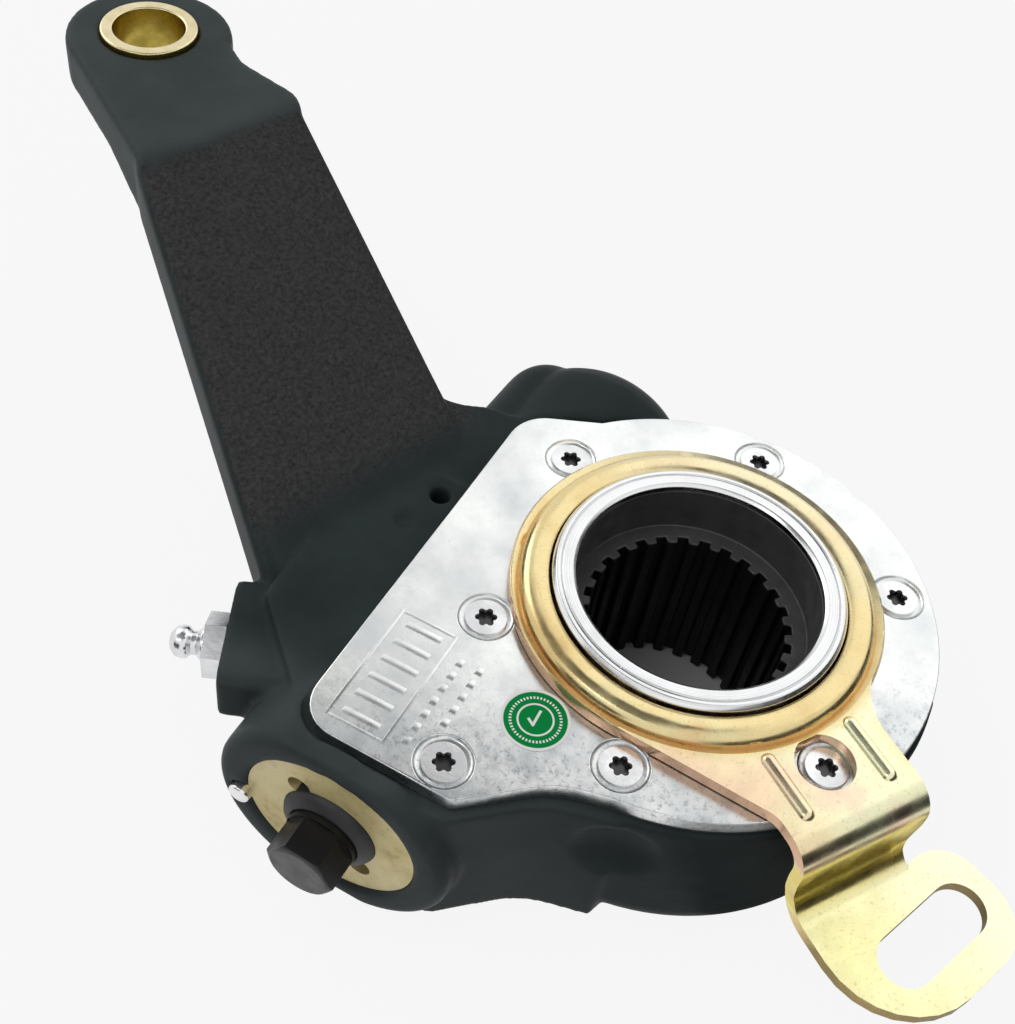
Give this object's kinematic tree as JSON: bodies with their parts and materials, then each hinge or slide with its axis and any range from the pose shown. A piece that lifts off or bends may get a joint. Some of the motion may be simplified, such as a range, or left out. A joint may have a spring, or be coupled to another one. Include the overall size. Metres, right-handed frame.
{
  "type": "brake slack adjuster",
  "caption": "Cast lever with an offset bushed eye that turns a splined camshaft through a worm and wheel, with a slotted control arm that takes up brake wear.",
  "frame": {"origin": "axis of the camshaft spline at the hub's back face", "axes": "+Z along the spline towards the cover and control arm, +X along the worm away from its hexagon, +Y towards the lever"},
  "size_m": [0.1512, 0.2612, 0.0735],
  "materials": {
    "black_casting": "black paint over rough casting",
    "bush_brass": "machined",
    "cover_zinc": "bright zinc",
    "gasket_fibre": "matt",
    "screw_steel": "bright zinc",
    "seal_rubber": "matt",
    "cap_zinc": "dull yellow zinc",
    "nipple_steel": "bright zinc",
    "inner_steel": "oiled",
    "spring_steel": "oiled",
    "wheel_steel": "black phosphate",
    "ring_steel": "turned bright",
    "shaft_black": "black oxide",
    "arm_zinc": "yellow chromate zinc"
  },
  "bodies": {
    "casting": {"housing": "black_casting", "clevis_bush": "bush_brass", "cover_plate": "cover_zinc", "cover_gasket": "gasket_fibre", "cover_screws": "screw_steel", "cover_seal": "seal_rubber", "end_cap": "cap_zinc", "cap_o_ring": "seal_rubber", "cap_lock_pin": "screw_steel", "shaft_seal": "seal_rubber", "grease_nipple": "nipple_steel", "thrust_bearing": "inner_steel", "spring_seat": "inner_steel", "main_spring": "spring_steel", "rear_seal": "seal_rubber"},
    "wheel": {"worm_wheel": "wheel_steel", "hub_ring": "ring_steel"},
    "worm": {"adjuster_shaft": "shaft_black", "worm_screw": "inner_steel", "clutch_ring": "inner_steel"},
    "control": {"control_arm": "arm_zinc", "control_disc": "inner_steel", "disc_rivets": "inner_steel"},
    "rack": {"rack": "inner_steel"},
    "clutch": {"clutch_gear": "inner_steel", "one_way_spring": "spring_steel"}
  },
  "joints": [
    {"name": "wheel_spin", "type": "hinge", "parent": "casting", "child": "wheel", "pos_m": [0, 0, 0], "axis": [0, 0, 1], "continuous": true},
    {"name": "worm_spin", "type": "hinge", "parent": "casting", "child": "worm", "pos_m": [0, 0.0385, 0.0225], "axis": [1, 0, 0], "continuous": true},
    {"name": "control_swing", "type": "hinge", "parent": "casting", "child": "control", "pos_m": [0, 0, 0], "axis": [0, 0, 1], "range_deg": [-8, 8]},
    {"name": "rack_slide", "type": "slide", "parent": "casting", "child": "rack", "axis": [0, 1, 0], "range_m": [-0.0046, 0.0046]},
    {"name": "clutch_turn", "type": "hinge", "parent": "casting", "child": "clutch", "pos_m": [0, 0.0385, 0.0225], "axis": [1, 0, 0], "range_deg": [-25, 25]}
  ],
  "couplings": [
    {"joint": "worm_spin", "follows": "wheel_spin", "ratio": 22},
    {"joint": "rack_slide", "follows": "control_swing", "m_per_rad": -0.0317},
    {"joint": "clutch_turn", "follows": "control_swing", "ratio": 3.019}
  ]
}
